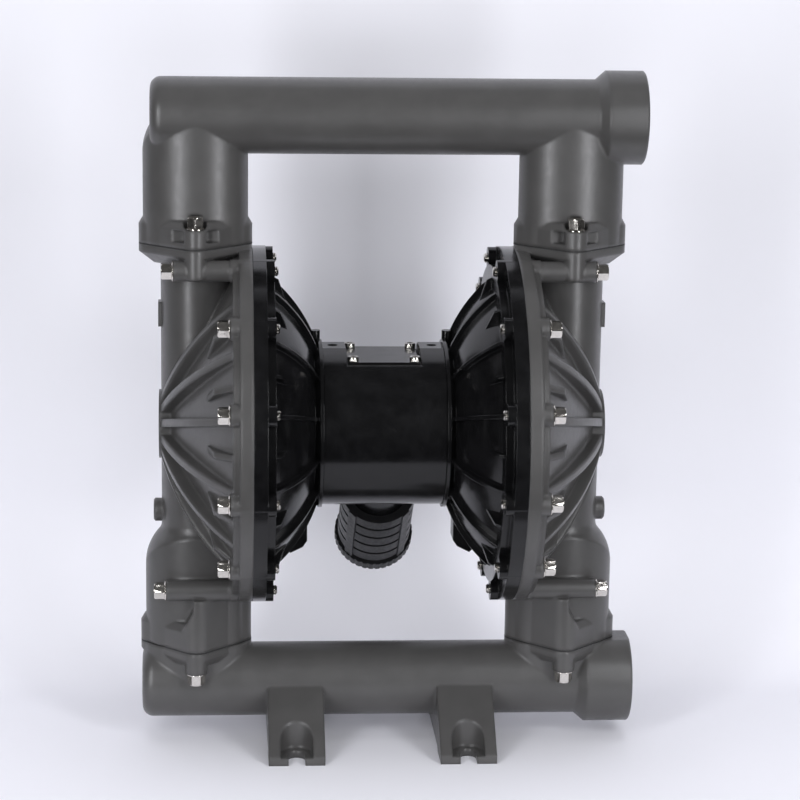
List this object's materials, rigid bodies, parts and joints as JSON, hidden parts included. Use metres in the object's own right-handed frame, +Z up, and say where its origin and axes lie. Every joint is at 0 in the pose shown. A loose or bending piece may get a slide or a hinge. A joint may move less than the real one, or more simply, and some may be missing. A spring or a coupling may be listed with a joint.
{
  "type": "air operated double diaphragm pump",
  "caption": "Upright air operated double diaphragm pump with ribbed liquid caps, side ports, cast feet and a rear exhaust muffler.",
  "frame": {"origin": "on the floor, in the middle of the pattern of open foot slots", "axes": "+X out of the two pipe ports, +Y towards the air valve and exhaust, +Z up"},
  "size_m": [0.5935, 0.4353, 0.811],
  "materials": {
    "grey_casting": "satin",
    "black_casting": "gloss",
    "bright_bolts": "polished",
    "plated_screws": "satin",
    "muffler_plastic": "matte",
    "black_rubber": "matte",
    "ball_rubber": "satin",
    "seat_steel": "satin",
    "bare_aluminium": "satin",
    "rod_steel": "polished",
    "bush_bronze": "satin"
  },
  "bodies": {
    "pump": {"outlet_manifold": "grey_casting", "inlet_manifold": "grey_casting", "fluid_cap_left": "grey_casting", "fluid_cap_right": "grey_casting", "air_cap_left": "black_casting", "air_cap_right": "black_casting", "centre_body": "black_casting", "valve_body": "black_casting", "valve_end_cap_left": "black_casting", "valve_end_cap_right": "black_casting", "top_cover": "black_casting", "top_manifold_bolts": "bright_bolts", "bottom_manifold_bolts": "bright_bolts", "cap_bolts_short_left": "bright_bolts", "cap_bolts_short_right": "bright_bolts", "cap_bolts_long_left": "bright_bolts", "cap_bolts_long_right": "bright_bolts", "centre_screws_left": "plated_screws", "centre_screws_right": "plated_screws", "top_cover_screws": "plated_screws", "valve_body_screws": "plated_screws", "valve_cap_screws": "plated_screws", "muffler_body": "muffler_plastic", "muffler_end_cap": "muffler_plastic", "top_cover_gasket": "black_rubber", "valve_gasket": "black_rubber", "outlet_gasket_left": "black_rubber", "outlet_gasket_right": "black_rubber", "inlet_gasket_left": "black_rubber", "inlet_gasket_right": "black_rubber", "outlet_seat_left": "seat_steel", "outlet_seat_right": "seat_steel", "inlet_seat_left": "seat_steel", "inlet_seat_right": "seat_steel", "rod_bush_left": "bush_bronze", "rod_bush_right": "bush_bronze"},
    "shaft": {"diaphragm_rod": "rod_steel", "inner_plate_left": "bare_aluminium", "inner_plate_right": "bare_aluminium", "outer_plate_left": "bare_aluminium", "outer_plate_right": "bare_aluminium", "diaphragm_left": "black_rubber", "diaphragm_right": "black_rubber"},
    "trip": {"trip_rod": "rod_steel"},
    "spool": {"main_spool": "bare_aluminium"},
    "outlet_ball_left": {"outlet_ball_left": "ball_rubber"},
    "outlet_ball_right": {"outlet_ball_right": "ball_rubber"},
    "inlet_ball_left": {"inlet_ball_left": "ball_rubber"},
    "inlet_ball_right": {"inlet_ball_right": "ball_rubber"}
  },
  "joints": [
    {"name": "diaphragm_stroke", "type": "slide", "parent": "pump", "child": "shaft", "axis": [1, 0, 0], "range_m": [-0.02, 0.02], "deforming": ["diaphragm_left", "diaphragm_right"]},
    {"name": "trip_rod_slide", "type": "slide", "parent": "pump", "child": "trip", "axis": [1, 0, 0], "range_m": [-0.009, 0.009]},
    {"name": "main_spool_shift", "type": "slide", "parent": "pump", "child": "spool", "axis": [1, 0, 0], "range_m": [-0.007, 0.007]},
    {"name": "outlet_ball_left_lift", "type": "slide", "parent": "pump", "child": "outlet_ball_left", "axis": [0, 0, 1], "range_m": [0, 0.02]},
    {"name": "outlet_ball_right_lift", "type": "slide", "parent": "pump", "child": "outlet_ball_right", "axis": [0, 0, 1], "range_m": [0, 0.02]},
    {"name": "inlet_ball_left_lift", "type": "slide", "parent": "pump", "child": "inlet_ball_left", "axis": [0, 0, 1], "range_m": [0, 0.02]},
    {"name": "inlet_ball_right_lift", "type": "slide", "parent": "pump", "child": "inlet_ball_right", "axis": [0, 0, 1], "range_m": [0, 0.02]}
  ],
  "couplings": [
    {"joint": "trip_rod_slide", "follows": "diaphragm_stroke", "ratio": 0.4}
  ]
}
